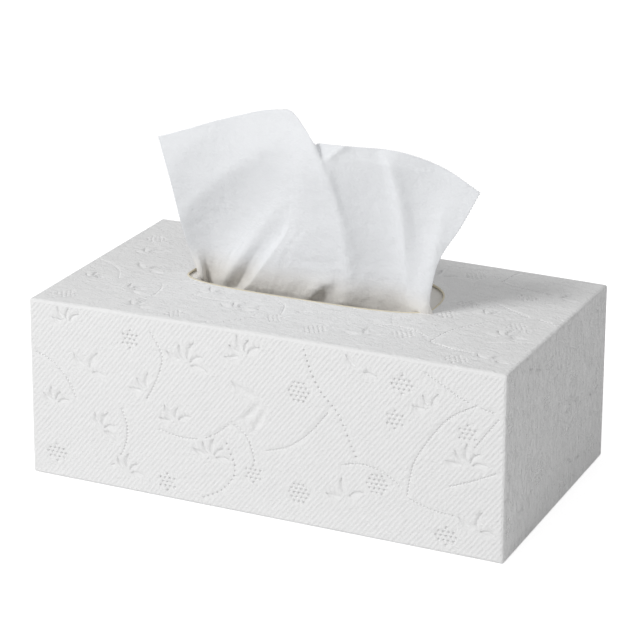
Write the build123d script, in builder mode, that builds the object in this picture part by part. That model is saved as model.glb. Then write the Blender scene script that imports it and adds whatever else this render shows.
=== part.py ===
"""Tissue box: a folded board carton with a rounded slot in its top, the stack of interleaved tissues
inside it, and the tissue that stands gathered in the slot, ready to be pulled.

The origin is the middle of the underside, +X runs along the box and +Z is up. All sizes are millimetres.
"""
import os
from math import copysign, cos, radians, sin

from build123d import *

# Carton, folded from one blank
length = 230.0
depth = 127.0
height = 85.0
board = 0.6
crease_radius = 1.8

# Flaps glued inside the carton
dust_flap_reach = 42.0
dust_flap_clearance = 1.0
glue_seam_width = 15.0

# Slot in the top panel: a squared oval that reaches further back than forward
slot_centre_x = -4.6
slot_centre_y = -2.3
slot_half_length = 61.1
slot_reach_front = 14.6
slot_reach_back = 38.3
slot_squareness = 2.8
slot_point_count = 28

# Stack of folded tissues
stack_height = 66.0
stack_end_clearance = 6.4
stack_side_clearance = 7.4
stack_fold_pitch = 1.1
stack_fold_depth = 0.5

# Raised tissue
sheet_thickness = 0.4
fold_easing_rounds = 2
waist_height = 128.0
spread_height = 172.0
foot_spread = 1.3

# Fold lines of the raised tissue, from its left edge to its right one. Each has its place (x, y) from the
# slot's middle at the slot's level, at the waist and at the spread.
fold_lines = [
    ((-57.4, 4.8), (-77.5, 11.5), (-94.5, 19.0)),
    ((-53.4, 6.3), (-66.0, 8.5), (-74.0, 14.0)),
    ((-43.4, -3.7), (-47.5, 5.0), (-55.5, 8.5)),
    ((-36.4, 4.3), (-32.5, 4.5), (-39.5, 4.5)),
    ((-26.4, -5.7), (-16.5, -1.5), (-24.0, 0.5)),
    ((-17.4, 0.8), (-7.0, -3.0), (-11.0, -4.5)),
    ((-4.4, 0.8), (3.0, -6.5), (0.0, -10.5)),
    ((21.1, -6.7), (17.5, -11.0), (6.5, -11.0)),
    ((18.6, 5.3), (11.0, 5.0), (5.0, 6.5)),
    ((33.6, 3.8), (30.0, 1.0), (20.5, 1.5)),
    ((49.1, -4.7), (45.5, -5.5), (31.0, -1.0)),
    ((51.1, 2.3), (49.0, 3.0), (47.0, 4.5)),
    ((55.6, -1.2), (59.0, 1.0), (67.5, 9.0)),
    ((59.1, 3.3), (71.5, 12.5), (90.0, 24.0)),
]

# Upper hem of the raised tissue, seen from the front, as (x from the slot's middle, height)
hem_left = (-120.0, 131.5)
hem_shoulder = (-23.0, 166.5)
hem_peak = (-10.5, 170.0)
hem_fold = (0.7, 167.0)
hem_dip = (11.6, 153.5)
hem_right_crown = (37.6, 156.3)
hem_right_bend = (76.6, 137.0)
hem_right = (120.0, 104.0)

stack_top = board + stack_height
inner_length = length - 2 * board
inner_depth = depth - 2 * board
inner_height = height - 2 * board
inner_radius = crease_radius - board


def slot_point(angle):
    """Point of the slot's edge at an angle round its middle."""
    reach = slot_reach_back if sin(angle) > 0 else slot_reach_front
    power = 2 / slot_squareness
    across = copysign(abs(cos(angle)) ** power, cos(angle))
    along = copysign(abs(sin(angle)) ** power, sin(angle))
    return slot_centre_x + slot_half_length * across, slot_centre_y + reach * along


def eased(line):
    """A fold line's corners cut off a few times over, so that its folds turn softly."""
    for _ in range(fold_easing_rounds):
        cut = [line[0]]
        for start, end in zip(line, line[1:]):
            cut += [start + (end - start) * 0.25, start + (end - start) * 0.75]
        line = cut + [line[-1]]
    return line


def sheet_section(places):
    """Outline of the sheet where it passes through a level, from its folds' places there."""
    middle = Vector(slot_centre_x, slot_centre_y)
    line = eased([middle + Vector(x, y) for x, y in places])
    front = []
    back = []
    for before, here, after in zip([line[0]] + line, line, line[1:] + [line[-1]]):
        half = (after - before).normalized().rotate(Axis.Z, 90) * (sheet_thickness / 2)
        front.append(here - half)
        back.append(here + half)
    return front + back[::-1]


# Carton
slot_outline = [slot_point(radians(360 / slot_point_count * step)) for step in range(slot_point_count)]
with BuildPart() as carton:
    Box(length, depth, height, align=(Align.CENTER, Align.CENTER, Align.MIN))
    fillet(carton.edges(), crease_radius)
    offset(amount=-board, mode=Mode.SUBTRACT)

    # Dust flaps, folded in from the front and the back and glued to the end panels
    dust_flap_height = inner_height - 2 * dust_flap_clearance
    with GridLocations(inner_length - board, inner_depth - dust_flap_reach, 2, 2):
        with Locations((0, 0, board + dust_flap_clearance)):
            Box(board, dust_flap_reach, dust_flap_height, align=(Align.CENTER, Align.CENTER, Align.MIN))

    # Seam flap, folded up from the bottom panel and glued to the back panel
    with Locations((0, inner_depth / 2, board)):
        Box(inner_length, board, glue_seam_width, align=(Align.CENTER, Align.MAX, Align.MIN))

    # Slot in the top panel
    with BuildSketch(Plane.XY.offset(height - crease_radius)):
        with BuildLine():
            Spline(*slot_outline, periodic=True)
        make_face()
    extrude(amount=2 * crease_radius, mode=Mode.SUBTRACT)

# Stack of tissues, whose folds alternate between its front and its back
stack_length = inner_length - 2 * stack_end_clearance
stack_depth = inner_depth - 2 * stack_side_clearance
fold_count = round(stack_height / stack_fold_pitch)
fold_pitch = stack_height / fold_count
front_folds = []
back_folds = []
for fold in range(fold_count):
    low = board + fold * fold_pitch
    front_folds += [(-stack_depth / 2 + stack_fold_depth, low), (-stack_depth / 2, low + fold_pitch / 2)]
    back_folds += [(stack_depth / 2, low), (stack_depth / 2 - stack_fold_depth, low + fold_pitch / 2)]
front_folds.append((-stack_depth / 2 + stack_fold_depth, stack_top))
back_folds.append((stack_depth / 2, stack_top))
with BuildPart() as tissue_stack:
    with BuildSketch(Plane.YZ.offset(-stack_length / 2)):
        with BuildLine():
            Polyline(*front_folds, *reversed(back_folds), close=True)
        make_face()
    extrude(amount=stack_length)

# Raised tissue: lofted through its fold lines, then cut along its upper hem
foot_line = [(x * foot_spread, y) for (x, y), waist, spread in fold_lines]
slot_line = [fold[0] for fold in fold_lines]
waist_line = [fold[1] for fold in fold_lines]
spread_line = [fold[2] for fold in fold_lines]
levels = [
    (stack_top, foot_line),
    (height, slot_line),
    (waist_height, waist_line),
    (spread_height, spread_line),
]
with BuildPart() as raised_tissue:
    for level, line in levels:
        with BuildSketch(Plane.XY.offset(level)):
            with BuildLine():
                Polyline(*sheet_section(line), close=True)
            make_face()
    loft(ruled=True)
    with BuildSketch(Plane.XZ.offset(-depth / 2)):
        with BuildLine():
            hem = [(slot_centre_x + x, z) for x, z in (
                hem_left, hem_shoulder, hem_peak, hem_fold, hem_dip, hem_right_crown, hem_right_bend, hem_right
            )]
            Line(hem[0], hem[1])
            ThreePointArc(hem[1], hem[2], hem[3])
            Line(hem[3], hem[4])
            ThreePointArc(hem[4], hem[5], hem[6])
            Polyline(hem[6], hem[7], (hem[7][0], stack_top), (hem[0][0], stack_top), hem[0])
        make_face()
    extrude(amount=depth, mode=Mode.INTERSECT)

carton.part.label = "carton"
tissue_stack.part.label = "tissue_stack"
raised_tissue.part.label = "raised_tissue"

os.makedirs("parts", exist_ok=True)
export_step(carton.part, "parts/carton.step")
export_step(tissue_stack.part, "parts/tissue_stack.step")
export_step(raised_tissue.part, "parts/raised_tissue.step")
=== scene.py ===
"""Tissue box: a white embossed board carton, the folded tissues in it and the one that stands in its slot.

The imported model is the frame. Every piece is built in its place, in metres, from sizes kept in millimetres here.
"""
from itertools import product
from math import ceil, cos, pi, radians, sin

import bmesh
import bpy
import numpy as np
from bpy.props import FloatProperty, FloatVectorProperty, IntProperty, PointerProperty
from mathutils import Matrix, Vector, noise
from mathutils.geometry import delaunay_2d_cdt


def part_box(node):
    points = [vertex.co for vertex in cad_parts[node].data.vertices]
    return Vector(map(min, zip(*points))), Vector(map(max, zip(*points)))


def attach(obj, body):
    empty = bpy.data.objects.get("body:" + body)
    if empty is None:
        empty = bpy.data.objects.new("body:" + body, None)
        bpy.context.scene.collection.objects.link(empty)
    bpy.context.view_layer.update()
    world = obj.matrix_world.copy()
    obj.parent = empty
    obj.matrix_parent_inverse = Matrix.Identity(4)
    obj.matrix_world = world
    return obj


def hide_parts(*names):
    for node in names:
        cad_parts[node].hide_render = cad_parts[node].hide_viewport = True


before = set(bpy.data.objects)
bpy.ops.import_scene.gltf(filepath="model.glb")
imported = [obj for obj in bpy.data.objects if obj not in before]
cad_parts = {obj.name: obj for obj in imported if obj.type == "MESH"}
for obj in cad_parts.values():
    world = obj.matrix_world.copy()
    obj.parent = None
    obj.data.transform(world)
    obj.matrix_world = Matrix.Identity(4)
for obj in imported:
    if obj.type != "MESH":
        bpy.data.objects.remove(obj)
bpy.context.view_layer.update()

bl_info = {
    "name": "Tissue Box",
    "version": (1, 0, 0),
    "blender": (4, 5, 0),
    "location": "View3D > Sidebar > Tissue Box",
    "description": "Builds an embossed tissue carton, its stack of tissues and the tissue standing in its slot",
    "category": "Object",
}

MM = 0.001

# The photograph's camera, worked out from the carton's corners, in pixels, degrees and millimetres
PHOTO_SIDE = 640
FOCAL_PIXELS = 2487.09
CAMERA_AZIMUTH = 25.1827
CAMERA_ELEVATION = 19.9213
CAMERA_DISTANCE = 1134.83
CAMERA_TARGET = (-0.2587, 0.0, 70.718)

CARTON_LOW, CARTON_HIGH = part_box("carton")
STACK_LOW, STACK_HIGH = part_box("tissue_stack")

# Slot in the top panel, a squared oval that reaches further back than forward
SLOT_CENTRE = (-3.9, -2.3)
SLOT_HALF_LENGTH = 60.4
SLOT_REACH_FRONT = 14.6
SLOT_REACH_BACK = 38.3
SLOT_SQUARENESS = 2.8
SLOT_POINTS = 144

# The slot's torn edge, curled up a little: rings from its outside to its inside, as how far each is grown outwards
# and how far it drops under the top. One more ring, at the board's inner face, closes the edge.
SLOT_RIM = 0.7
SLOT_EDGE = [(SLOT_RIM, 0.0), (0.45, -0.16), (0.2, -0.3), (0.0, -0.26), (-0.08, -0.08), (0.0, 0.2)]

# Flaps glued inside the carton
DUST_FLAP_REACH = 42.0
DUST_FLAP_LEVELS = (1.6, 83.4)
SEAM_FLAP_LEVELS = (0.65, 15.6)
GLUE_GAP = 0.05
BOX_FACES = [(0, 1, 3, 2), (4, 6, 7, 5), (0, 4, 5, 1), (2, 3, 7, 6), (0, 2, 6, 4), (1, 5, 7, 3)]

# Six panels of the carton: name, corner as shares of the box, directions along and up the panel, the place on
# the unfolded blank where its embossing starts
PANELS = [
    ("front", (0, 0, 0), (1, 0, 0), (0, 0, 1), (0, 0)),
    ("top", (0, 0, 1), (1, 0, 0), (0, 1, 0), (0, 85)),
    ("back", (1, 1, 0), (-1, 0, 0), (0, 0, 1), (70, 20)),
    ("right", (1, 0, 0), (0, 1, 0), (0, 0, 1), (132, 0)),
    ("left", (0, 1, 0), (0, -1, 0), (0, 0, 1), (40, 0)),
    ("bottom", (0, 1, 0), (1, 0, 0), (0, -1, 0), (15, 40)),
]
CREASE_STEPS = 4
BORDER_STEP = 1.5

# Ground that the embossing leaves free beside the creases and round the slot
CREASE_MARGIN = 0.2
SLOT_MARGIN = 0.75

# The inside of the panels follows the embossing roughly: a grid of points, pressed by a share of its depth
INSIDE_STEP = 7.0
INSIDE_START = 6.0
INSIDE_END = 4.0
INSIDE_SHARE = 0.5

# How far the front and back panels, the end panels and the top's long edges belly out, as shares of the bulge
SIDE_BULGE = 0.8
END_BULGE = 0.6
EDGE_BULGE = 0.85

# How far the carton's corners stand out of square, in millimetres, by their sides: left or right, front or back,
# bottom or top
CORNER_SHIFTS = {
    (0, 0, 0): (-0.64, -1.93, 0.0),
    (1, 0, 0): (1.9, -3.0, 0.0),
    (0, 1, 0): (-0.6, 0.8, 0.0),
    (1, 1, 0): (0.3, 1.16, 0.0),
    (0, 0, 1): (-0.45, -0.2, -0.7),
    (1, 0, 1): (0.39, -0.1, -0.1),
    (0, 1, 1): (-1.46, 0.35, 0.4),
    (1, 1, 1): (0.3, 0.15, -0.1),
}

# Pressed ornament on the blank, repeated every ORNAMENT_REPEAT: sprays of petals as middle, heading, fan angle,
# petal count and petal length, clusters of dots as middle and radius, and stems as points that they pass
ORNAMENT_REPEAT = (230, 85)
ORNAMENT_TILES = [(i, j) for i in range(-1, 4) for j in range(-1, 4)]
SPRAYS = [
    ((30, 55), 60, 150, 5, 9.0),
    ((80, 66), 70, 170, 5, 9.5),
    ((108, 74), 110, 160, 5, 8.0),
    ((36, 28), 40, 140, 4, 8.0),
    ((12, 36), 80, 120, 4, 7.0),
    ((117, 55), 190, 70, 2, 15.0),
    ((119, 53), 262, 40, 2, 13.0),
    ((163, 76), 60, 150, 5, 7.5),
    ((19, 76), 100, 130, 4, 7.0),
    ((74, 38), 100, 150, 4, 7.5),
    ((92, 24), 80, 160, 5, 8.0),
    ((49, 9), 60, 130, 4, 8.0),
    ((213, 42), 90, 170, 5, 8.5),
    ((217, 13), 70, 150, 5, 8.0),
    ((157, 17), 100, 150, 5, 8.0),
    ((196, 64), 120, 110, 3, 7.0),
    ((60, 50), 130, 90, 3, 7.5),
]
CLUSTERS = [
    ((135, 62), 5.4),
    ((183, 73), 4.6),
    ((180, 57), 4.4),
    ((213, 56), 4.2),
    ((135, 15), 5.0),
    ((172, 26), 4.8),
    ((204, 8), 4.6),
    ((13, 12), 4.6),
    ((113, 20), 4.4),
    ((70, 8), 4.2),
    ((52, 73), 4.4),
]
STEMS = [
    [(119, 32), (130, 36), (140, 44), (149, 55)],
    [(186, 23), (187, 30), (189, 39), (196, 51), (205, 62), (218, 70)],
    [(155, 32), (165, 34), (175, 32), (184, 26)],
    [(193, 80), (203, 75), (213, 70), (226, 67)],
    [(227, 65), (221, 57), (216, 50)],
    [(187, 22), (197, 19), (208, 18)],
    [(205, 31), (217, 36), (227, 41)],
    [(47, 40), (50, 31), (48, 20), (42, 11)],
    [(102, 43), (110, 37), (113, 29), (114, 24)],
    [(66, 33), (80, 31), (92, 34), (102, 42)],
    [(3, 60), (12, 56), (20, 48), (24, 40)],
    [(62, 78), (68, 68), (66, 58), (60, 46)],
]
DOTTED_STEMS = [
    [(137, 81), (141, 71), (146, 63), (153, 56), (157, 48), (162, 37)],
    [(88, 4), (98, 10), (104, 20), (100, 32)],
]

# Forms of the ornament. A margin is the ground that a form keeps free round it. Every second petal of a spray is
# shorter. A petal's width, bend and floor are shares of its length, or of its rim for the floor.
FLOOR_DEPTH = 0.92
PETAL_STEPS = 8
PETAL_START = 1.8
PETAL_WIDTH = 0.3
PETAL_BEND = 0.08
PETAL_TAPER = 0.8
PETAL_FLOOR = (0.8, 0.5)
PETAL_SHORTER = 0.18
PETAL_MARGIN = 0.5
DOT_PITCH = 2.3
DOT_ROW = 0.87
DOT_SIDES = 8
DOT_RADIUS = 0.72
SMALL_DOT_RADIUS = 0.55
DOT_FLOOR = 0.4
DOT_MARGIN = 0.2
BEAD_STEP = 0.85
STEM_HALF_WIDTH = 0.52
STEM_MARGIN = 0.75
STEM_STEPS = 12
SPRAY_REACH = 20
CLUSTER_REACH = 10

# The ribs' lines: distance from point to point, shortest line, and how far its ends stay off the creases' margin
RIB_STEP = 3.0
SHORTEST_RIB = 1.0
RIB_END_GAP = 0.01

# Raised tissue without its folds: columns from its left edge to its right one, placed over the photograph. Each has
# five places from the slot's level up to the upper hem, as pixels across and down and the depth in millimetres (y).
TISSUE_SHEET = [
    ((197.5, 280.5, 1), (192, 257, 1), (182, 228, 1), (171, 185, 1), (157.5, 136, 0)),
    ((211, 284, 4), (205, 258, 2.5), (200, 228, 2.5), (191, 183, 2.5), (183, 129.5, 1.5)),
    ((228, 288, 2), (222, 258, 2), (221, 228, 2.5), (216, 179, 2.5), (211, 121.5, 1.5)),
    ((245, 291, 0.5), (243, 260, 0), (246, 226, 0.5), (243, 173, 0), (238, 115, 0)),
    ((263, 295, -0.5), (264, 262, -2), (270, 226, -3), (268, 168, -4), (262, 110, -4)),
    ((283, 299, -1.5), (285, 264, -3.5), (292, 222, -5.5), (290, 166, -8), (280, 109, -8)),
    ((304, 302, -2), (308, 267, -4.5), (312, 222, -8), (306, 167, -12), (292, 111, -12)),
    ((325, 305, -2.2), (329, 269, -5), (328, 225, -9.5), (317, 172, -14), (306, 130, -14.5)),
    ((340, 307, -2.2), (344, 270, -5.2), (338, 226, -10.2), (323, 172, -14.5), (315.5, 144.5, -14.5)),
    ((342, 307, -2.2), (346, 270, -5.2), (340, 226, -10.3), (325, 172, -14.5), (316.5, 144, -14)),
    ((344, 307, -2.2), (348, 270, -5.2), (342, 226, -10.3), (327, 171, -14.3), (318, 143, -12)),
    ((352, 308, -2.5), (353, 269, -5.5), (347, 225, -10.2), (334, 172, -13.5), (330, 144, -14)),
    ((366, 309, -3), (364, 268, -6), (358, 224, -10), (350, 176, -12.8), (345, 145.5, -14.8)),
    ((384, 311, -3), (382, 267, -6), (378, 223, -9.6), (371, 180, -12), (365, 147, -14.5)),
    ((404, 312, -3), (402, 265, -6.5), (399, 222, -9.6), (393, 183, -11), (387, 149, -13)),
    ((415, 313, -3), (414, 263, -7), (415, 221, -9), (415, 186, -10), (410, 154, -12.3)),
    ((424, 313, -4), (425, 270, -7), (430, 235, -8.5), (440, 198, -9.5), (446, 168.5, -10.5)),
    ((431, 308, -3), (433, 284, -6), (441, 258, -8.5), (461, 228, -11), (481, 192.5, -11.5)),
]

# Its folds, placed over the photograph: the line of the crest, how far it stands out at each point of that line,
# how far it falls away to its left and to its right, all in millimetres, and how round its crest is, as a share
TISSUE_FOLDS = {
    "upper left diagonal": (
        [(306, 116), (290, 128), (274, 138), (250, 152), (225, 169), (205, 184), (190, 199), (177, 217), (167, 236),
         (158, 255), (150, 275)],
        [0.0, 4.0, 7.5, 12.0, 14.0, 13.5, 13.0, 11.5, 8.5, 6.5, 4.5], 90, 20, 0.35),
    "upper left swell": ([(232, 122), (200, 136), (180, 150), (168, 172)], [0.0, 3.0, 4.0, 4.0], 30, 13, 0.5),
    "middle swell": (
        [(312, 130), (307, 150), (305, 170), (302, 190), (299, 212), (297, 236), (296, 262)],
        [0.0, 4.5, 6.0, 5.2, 3.6, 1.6, 0.0], 13, 35, 0.35),
    "left ridge": (
        [(290, 196), (278, 208), (263, 226), (252, 240), (244, 250), (236, 262), (228, 275), (222, 284)],
        [0.0, 1.5, 2.4, 3.2, 4.0, 5.5, 6.5, 7.0], 6.5, 9, 0.35),
    "sharp left ridge": (
        [(296, 190), (292, 210), (289, 226), (284, 237), (275, 250), (266, 262), (258, 273), (250, 284), (243, 291),
         (238, 300)],
        [0.0, 0.8, 2.3, 3.8, 4.8, 5.3, 5.8, 6.2, 6.2, 6.2], 1.5, 40, 0.8),
    "middle ridge": (
        [(318, 158), (327, 183), (335, 207), (343, 238), (347, 262), (347, 285), (343, 304)],
        [0.0, 2.0, 3.5, 4.5, 4.5, 4.0, 3.5], 5, 8, 0.5),
    "sharp right ridge": (
        [(380, 150), (388, 162), (396, 190), (402, 222), (405, 255), (408, 285), (410, 312)],
        [0.0, 3.0, 4.0, 4.5, 4.5, 4.5, 4.5], 3, 11, 0.25),
    "right strip": (
        [(455, 178), (447, 200), (441, 225), (434, 255), (430, 285), (428, 306)],
        [0.0, 1.0, 2.5, 4.5, 6.0, 6.5], 8, 9, 0.35),
    "rolled hem": ([(344, 146), (333, 154), (322, 163)], [2.2, 2.2, 0.3], 1.6, 3, 0.35),
    "left end": ([(196, 248), (198.5, 259), (202, 272), (204, 286)], [0.0, 0.8, 3.0, 4.5], 3.5, 1.2, 0.3),
    "left notch": ([(205, 248), (206, 259), (206.5, 272), (208, 286)], [0.0, -0.8, -3.4, -5.0], 1.5, 3.5, 0.35),
    "valley": (
        [(276, 224), (267, 237), (258, 250), (249, 264), (243, 275), (237, 286)],
        [0.0, -0.4, -0.7, -1.5, -3.0, -3.5], 3.0, 3, 0.35),
    "arched hollow": ([(323, 288), (324, 297), (325, 308)], [-1.0, -3.0, -3.5], 2.4, 2.2, 0.8),
    "strap": ([(290, 304), (307, 298), (318, 289), (327, 284), (335, 284)], [0.3, 1.6, 2.6, 2.0, 0.0], 2, 6, 0.4),
}
FOLD_FALL = 1.6
FOLD_STEPS = 10
PIXEL_ON_TISSUE = 0.46

# Its gathered part under the slot, as foot, flare and neck: spread from the slot's middle and share of the depth,
# both against those at the slot's level, and height above the stack, or above the carton's top for the neck. A
# column that starts further under the top than NECK_MARGIN has its neck halfway down to the flare instead.
TISSUE_GATHER = [(1.72, 0.8, 0.15), (1.35, 0.9, 5.0), (1.05, 1.0, -3.0)]
NECK_MARGIN = 1.0

# The level at which its folds start and the height over which they grow to their full depth
FOLDS_START = (70.0, 12.0)
TISSUE_ROWS = 150
TISSUE_COLUMNS = 280
COLUMN_STEPS = 24
ROW_STEPS = 16
PINKING = 0.55

# Its small wrinkles: how many there are per millimetre across and over the whole height, the layer of the noise and
# their height as a share, and how high they are at the hem against those at the foot
WRINKLES = [(0.11, 2.2, 3.7, 1.2), (0.3, 6.0, 9.1, 0.5)]
WRINKLES_AT_HEM = 0.5

# One folded tissue of the stack: how far its ends and its fold stay inside the stack's box, how full its fold is,
# its open edges as distance from the box and level, a share of its height, and half the gap to the next tissue
STACK_END_INSET = 0.8
STACK_FOLD_INSET = 0.7
STACK_FOLD_STEPS = 7
STACK_FOLD_FULLNESS = 0.98
STACK_OPEN_EDGES = [(1.4, 0.0), (1.0, 0.25), (1.9, 0.5), (0.9, 0.75), (1.3, 1.0)]
STACK_GAP = 0.02
STACK_SHIFT = 0.6

# The next tissue, drawn up a little under the slot as a squared hill with soft folds. It sags between the slot's
# ends, comes up on both sides of the raised tissue, and stays down in front of that tissue's back. ENDS, RIGHT and
# LEFT are each the start and the length of a ramp, out from the slot's middle. FOLDS are how many there are per
# millimetre across and along, and the layer of the noise. CLEARANCE is the gap to the carton's top.
NEXT_TISSUE_INSET = 2.5
NEXT_TISSUE_RISE = 19.0
NEXT_TISSUE_SAG = 5.5
NEXT_TISSUE_SINK = 0.3
NEXT_TISSUE_REACH = (86.0, 44.0)
NEXT_TISSUE_SQUARENESS = (8, 6)
NEXT_TISSUE_MIDDLE = 10.0
NEXT_TISSUE_ENDS = (34, 14)
NEXT_TISSUE_RIGHT = (46, 5)
NEXT_TISSUE_LEFT = (54, 2)
NEXT_TISSUE_FOLDS = (0.035, 0.07, 5.3)
NEXT_TISSUE_FOLD_HEIGHT = 7.0
NEXT_TISSUE_FINER = 3.1
NEXT_TISSUE_FINE_HEIGHT = 1.2
NEXT_TISSUE_CLEARANCE = 0.95
NEXT_TISSUE_COLUMNS = 160
NEXT_TISSUE_ROWS = 70
RAISED_TISSUE_BACK = 10.0
RAISED_TISSUE_SOFTNESS = 1.2

# Grain of the materials in spots per metre, along x, y and z where the spots are longer one way
MOTTLE_GRAIN = 160.0
CRINKLE_GRAIN = (150.0, 420.0, 200.0)
CRINKLE_TURN = 0.3
FIBRE_GRAIN = 900.0
BARE_FIBRE_GRAIN = 700.0
CREPE_GRAIN = (800.0, 800.0, 1000.0)
CLOUD_GRAIN = 220.0

# Heights between which the tissue takes on a painted warm bounce light near the slot, standing in for the light
# that the carton's inside throws on it, in millimetres, and how much of it
PAINTED_BOUNCE_LEVELS = (100, 84)
PAINTED_BOUNCE_SHARE = 0.4

# The large lamp, in metres, and how much the floor glows to the camera
LAMP_PLACE = (-0.72, -1.33, 1.36)
LAMP_TARGET = (0, 0, 0.06)
LAMP_SIZE = 0.65
FLOOR_GLOW = 0.62
WHITE = (1, 1, 1, 1)


def linear(colour):
    """The linear values of an sRGB hex colour."""
    values = [int(colour[i:i + 2], 16) / 255 for i in (1, 3, 5)]
    return [v / 12.92 if v <= 0.04045 else ((v + 0.055) / 1.055) ** 2.4 for v in values]


class CartonSettings(bpy.types.PropertyGroup):
    """Sizes and colours of the carton"""

    board: FloatProperty(name="Board", description="Thickness of the board", default=0.6 * MM, unit="LENGTH")
    crease: FloatProperty(
        name="Crease", description="Outer radius of the creases", default=1.1 * MM, unit="LENGTH")
    bulge: FloatProperty(
        name="Bulge", description="How far the panels belly out", default=1.0 * MM, unit="LENGTH")
    rib_pitch: FloatProperty(
        name="Rib pitch", description="Distance from rib to rib", default=1.85 * MM, unit="LENGTH")
    rib_angle: FloatProperty(
        name="Rib angle", description="Angle of the ribs above the panel's lower edge",
        default=radians(51.3), subtype="ANGLE")
    rib_height: FloatProperty(
        name="Rib height", description="Height of the ribs above their grooves",
        default=0.16 * MM, unit="LENGTH")
    ornament_depth: FloatProperty(
        name="Ornament depth", description="How deep the ornament is pressed", default=0.7 * MM, unit="LENGTH")
    colour: FloatVectorProperty(
        name="Board colour", description="Outside of the board", default=linear("#EFEFEF"), subtype="COLOR")
    inside_colour: FloatVectorProperty(
        name="Inside colour", description="Inside and cut edges of the board", default=linear("#E4DCC6"),
        subtype="COLOR")


class TissueSettings(bpy.types.PropertyGroup):
    """Sizes and colours of the tissues"""

    thickness: FloatProperty(
        name="Thickness", description="Thickness of one tissue", default=0.24 * MM, unit="LENGTH")
    wrinkles: FloatProperty(
        name="Wrinkles", description="Height of the small wrinkles", default=0.35 * MM, unit="LENGTH")
    sheet_pitch: FloatProperty(
        name="Sheet pitch", description="Height of one folded tissue in the stack, drawn as coarse as it shows",
        default=1.5 * MM, unit="LENGTH")
    seed: IntProperty(name="Seed", description="Seed of the stack's small shifts", default=7)
    colour: FloatVectorProperty(
        name="Tissue colour", description="Colour of the paper", default=linear("#EEF0F3"), subtype="COLOR")
    # painted bounce light: the warm colour the paper is tinted with near the slot, standing in for light thrown
    # back by the carton's inside
    painted_bounce_colour: FloatVectorProperty(
        name="Colour in the slot", description="Paper in the warm light that the carton's inside throws back",
        default=linear("#F0E5D2"), subtype="COLOR")


class StageSettings(bpy.types.PropertyGroup):
    """The floor and the lights"""

    floor_size: FloatProperty(name="Floor size", description="Side of the floor", default=6.0, unit="LENGTH")
    key_power: FloatProperty(
        name="Key light", description="Power of the large soft lamp", default=18.4, unit="POWER")
    fill: FloatProperty(name="Fill", description="Strength of the light from all round", default=0.48)
    floor_colour: FloatVectorProperty(
        name="Floor colour", description="Colour of the floor", default=linear("#F2F2F2"), subtype="COLOR")


def add_node(tree, kind, settings=None):
    """A node with its settings, by input or property. Where a setting is another node's output, it is linked."""
    node = tree.nodes.new(kind)
    for key, value in (settings or {}).items():
        if isinstance(value, bpy.types.NodeSocket):
            tree.links.new(value, node.inputs[key])
        elif isinstance(key, int) or key in node.inputs:
            node.inputs[key].default_value = value
        else:
            setattr(node, key, value)
    return node


def calculate(tree, operation, *terms):
    """The outcome of a calculation with numbers and other nodes' outputs."""
    return add_node(tree, "ShaderNodeMath", {"operation": operation, **dict(enumerate(terms))}).outputs[0]


def between(tree, value, low, high):
    """A value from nought to one, brought between two others."""
    return add_node(tree, "ShaderNodeMapRange", {"Value": value, 3: low, 4: high}).outputs[0]


def stretched(tree, place, scales, turn=0.0):
    """A place turned and scaled, so that a pattern's spots are longer one way."""
    return add_node(
        tree, "ShaderNodeMapping", {"Vector": place, "Rotation": (0.0, 0.0, turn), "Scale": scales}).outputs[0]


def grain(tree, place, scale, detail, **more):
    """A pattern of soft spots."""
    return add_node(
        tree, "ShaderNodeTexNoise", {"Vector": place, "Scale": scale, "Detail": detail, **more}).outputs[0]


def bumped(tree, height, strength, distance, **beneath):
    """The surface's direction with a pattern raised on it, and on what lies beneath."""
    return add_node(
        tree, "ShaderNodeBump",
        {"Height": height, "Strength": strength, "Distance": distance, **beneath}).outputs[0]


def new_material(name):
    """An empty material and its node tree."""
    material = bpy.data.materials.new(name)
    material.use_nodes = True
    material.node_tree.nodes.clear()
    return material, material.node_tree


def mottled(tree, colour, pattern, darkest, lightest=1.0):
    """A colour that a pattern darkens a little here and there."""
    return add_node(tree, "ShaderNodeMix", {
        "data_type": "RGBA", "blend_type": "MULTIPLY", 0: 1.0, 6: (*colour, 1),
        7: between(tree, pattern, darkest, lightest)}).outputs[2]


def finish_surface(tree, colour, bump, settings):
    """Puts the shader of a paper or board, with its colour and bump, at the tree's output."""
    shader = add_node(
        tree, "ShaderNodeBsdfPrincipled", {"Base Color": colour, "Normal": bump, **settings})
    add_node(tree, "ShaderNodeOutputMaterial", {"Surface": shader.outputs[0]})


def coated_board_material(settings):
    """White clay-coated carton board: matt, with a faint fibre mottle and a fine tooth under the embossing."""
    material, tree = new_material("embossed_coated_board")
    coordinates = add_node(tree, "ShaderNodeTexCoord")
    place = coordinates.outputs["Object"]
    facing = add_node(tree, "ShaderNodeSeparateXYZ", {0: coordinates.outputs["Normal"]})
    frontal, level = [calculate(tree, "ABSOLUTE", facing.outputs[axis]) for axis in "YZ"]
    # small wrinkles, a few millimetres long, along the top and up the ends. The front and the back are pressed
    # flatter than the top, and the right end is left the roughest.
    crinkle = grain(
        tree, stretched(tree, place, CRINKLE_GRAIN, CRINKLE_TURN), 1.0, 3.0, Roughness=0.6, Distortion=1.5)
    crinkled = bumped(
        tree, crinkle, between(tree, frontal, 1.0, 0.45),
        between(tree, facing.outputs["X"], 0.8 * MM, 1.7 * MM))
    # the fibres are drawn as coarse as they have to be to show
    bump = bumped(
        tree, grain(tree, place, FIBRE_GRAIN, 2.0), 0.6, between(tree, level, 0.5 * MM, 0.1 * MM),
        Normal=crinkled)
    colour = mottled(tree, settings.colour, grain(tree, place, MOTTLE_GRAIN, 3.0), 0.965)
    finish_surface(tree, colour, bump, {"Roughness": 0.62, "IOR": 1.45, "Specular IOR Level": 0.35})
    return material


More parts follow.
